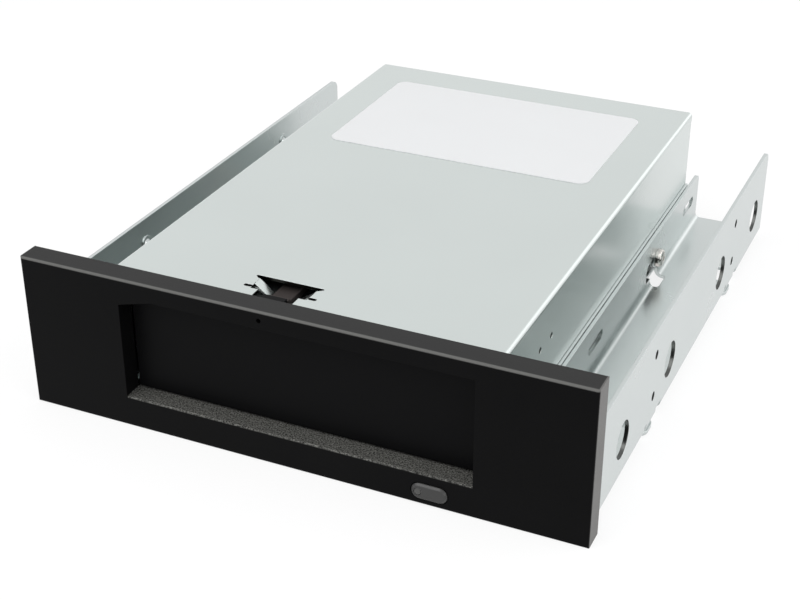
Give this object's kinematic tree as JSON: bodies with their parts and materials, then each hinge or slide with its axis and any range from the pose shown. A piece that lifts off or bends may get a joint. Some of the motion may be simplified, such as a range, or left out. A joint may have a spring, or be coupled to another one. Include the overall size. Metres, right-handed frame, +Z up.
{
  "type": "internal removable disk drive",
  "caption": "Internal dock for removable disk cartridges: black bezel with a sprung flap door and eject button, folded steel chassis, two bay adapter brackets and a geared ejector.",
  "frame": {"origin": "middle of the bottom of the whole object's bounding box: bezel centre line, lower edge of the bezel, half way along the depth", "axes": "+X to the right when looking at the bezel, +Y into the bay away from the bezel, +Z up"},
  "size_m": [0.148, 0.1694, 0.0416],
  "materials": {
    "bezel_plastic": "fine matt grain",
    "door_plastic": "matt",
    "button_plastic": "gloss",
    "lens_plastic": "clear gloss",
    "cover_steel": "bright passivated",
    "zinc_steel": "zinc plated",
    "inner_steel": "zinc plated",
    "slide_steel": "dull",
    "label_paper": "matt film",
    "spring_wire": "bright wire",
    "pin_steel": "ground",
    "screw_steel": "nickel plated",
    "rail_plastic": "satin",
    "gear_plastic": "satin",
    "brass": "machined",
    "motor_steel": "satin",
    "circuit_board": "solder mask",
    "flex_film": "film",
    "connector_plastic": "satin",
    "contact_gold": "plated",
    "chip_plastic": "matt",
    "led_plastic": "clear",
    "capacitor_can": "satin"
  },
  "bodies": {
    "chassis": {"front_bezel": "bezel_plastic", "door_hinge_pin": "pin_steel", "door_spring": "spring_wire", "tact_switch": "chip_plastic", "status_led": "led_plastic", "front_board": "circuit_board", "front_flex": "flex_film", "flex_connector": "gear_plastic", "base_pan": "zinc_steel", "top_cover": "cover_steel", "top_label": "label_paper", "left_bracket": "zinc_steel", "right_bracket": "zinc_steel", "bracket_screws": "screw_steel", "cover_screws": "screw_steel", "slot_floor": "inner_steel", "slot_ceiling": "inner_steel", "left_guide_rail": "rail_plastic", "right_guide_rail": "rail_plastic", "release_spring": "spring_wire", "latch_pivot": "pin_steel", "latch_spring": "spring_wire", "ejector_springs": "spring_wire", "mechanism_frame": "inner_steel", "frame_screws": "screw_steel", "eject_motor": "motor_steel", "motor_screws": "screw_steel", "gear_shaft": "pin_steel", "cartridge_connector": "connector_plastic", "cartridge_contacts": "contact_gold", "backplane_board": "circuit_board", "backplane_screws": "screw_steel", "link_header": "connector_plastic", "main_board": "circuit_board", "board_screws": "screw_steel", "controller_chip": "chip_plastic", "board_chips": "chip_plastic", "capacitors": "capacitor_can", "sata_connector": "connector_plastic", "sata_contacts": "contact_gold"},
    "door": {"door_flap": "door_plastic"},
    "button": {"eject_button": "button_plastic", "button_lens": "lens_plastic", "switch_plunger": "gear_plastic"},
    "slide": {"release_slide": "slide_steel"},
    "lever": {"latch_lever": "inner_steel"},
    "gear": {"reduction_gear": "gear_plastic"},
    "rotor": {"motor_shaft": "pin_steel", "motor_pinion": "brass"},
    "carriage": {"ejector_carriage": "rail_plastic"}
  },
  "joints": [
    {"name": "door_hinge", "type": "hinge", "parent": "chassis", "child": "door", "pos_m": [-0.0001, -0.07645, 0.0356], "axis": [1, 0, 0], "range_deg": [0, 88], "stiffness_Nm_per_rad": 0.002, "springref_deg": -28.65, "deforming": ["door_spring"]},
    {"name": "eject_press", "type": "slide", "parent": "chassis", "child": "button", "axis": [0, 1, 0], "range_m": [0, 0.0006], "stiffness_N_per_m": 300, "springref_m": -0.001},
    {"name": "release_push", "type": "slide", "parent": "chassis", "child": "slide", "axis": [0, 1, 0], "range_m": [0, 0.004], "stiffness_N_per_m": 150, "springref_m": -0.003, "deforming": ["release_spring"]},
    {"name": "latch_turn", "type": "hinge", "parent": "chassis", "child": "lever", "pos_m": [0.016, 0.02795, 0.0385], "axis": [0, 0, 1], "range_deg": [-12, 0], "deforming": ["latch_spring"]},
    {"name": "wheel_turn", "type": "hinge", "parent": "chassis", "child": "gear", "pos_m": [-0.01515, 0.05795, 0.03], "axis": [0, 0, 1], "range_deg": [0, 56]},
    {"name": "rotor_turn", "type": "hinge", "parent": "chassis", "child": "rotor", "pos_m": [-0.00465, 0.05795, 0.028], "axis": [0, 0, 1], "range_deg": [-176, 0]},
    {"name": "carriage_push", "type": "slide", "parent": "chassis", "child": "carriage", "axis": [0, 1, 0], "range_m": [0, 0.018], "stiffness_N_per_m": 100, "springref_m": -0.01, "deforming": ["ejector_springs"]}
  ],
  "couplings": [
    {"joint": "latch_turn", "follows": "release_push", "rad_per_m": -51.02},
    {"joint": "wheel_turn", "follows": "release_push", "rad_per_m": 238.1},
    {"joint": "rotor_turn", "follows": "release_push", "rad_per_m": -761.9}
  ]
}
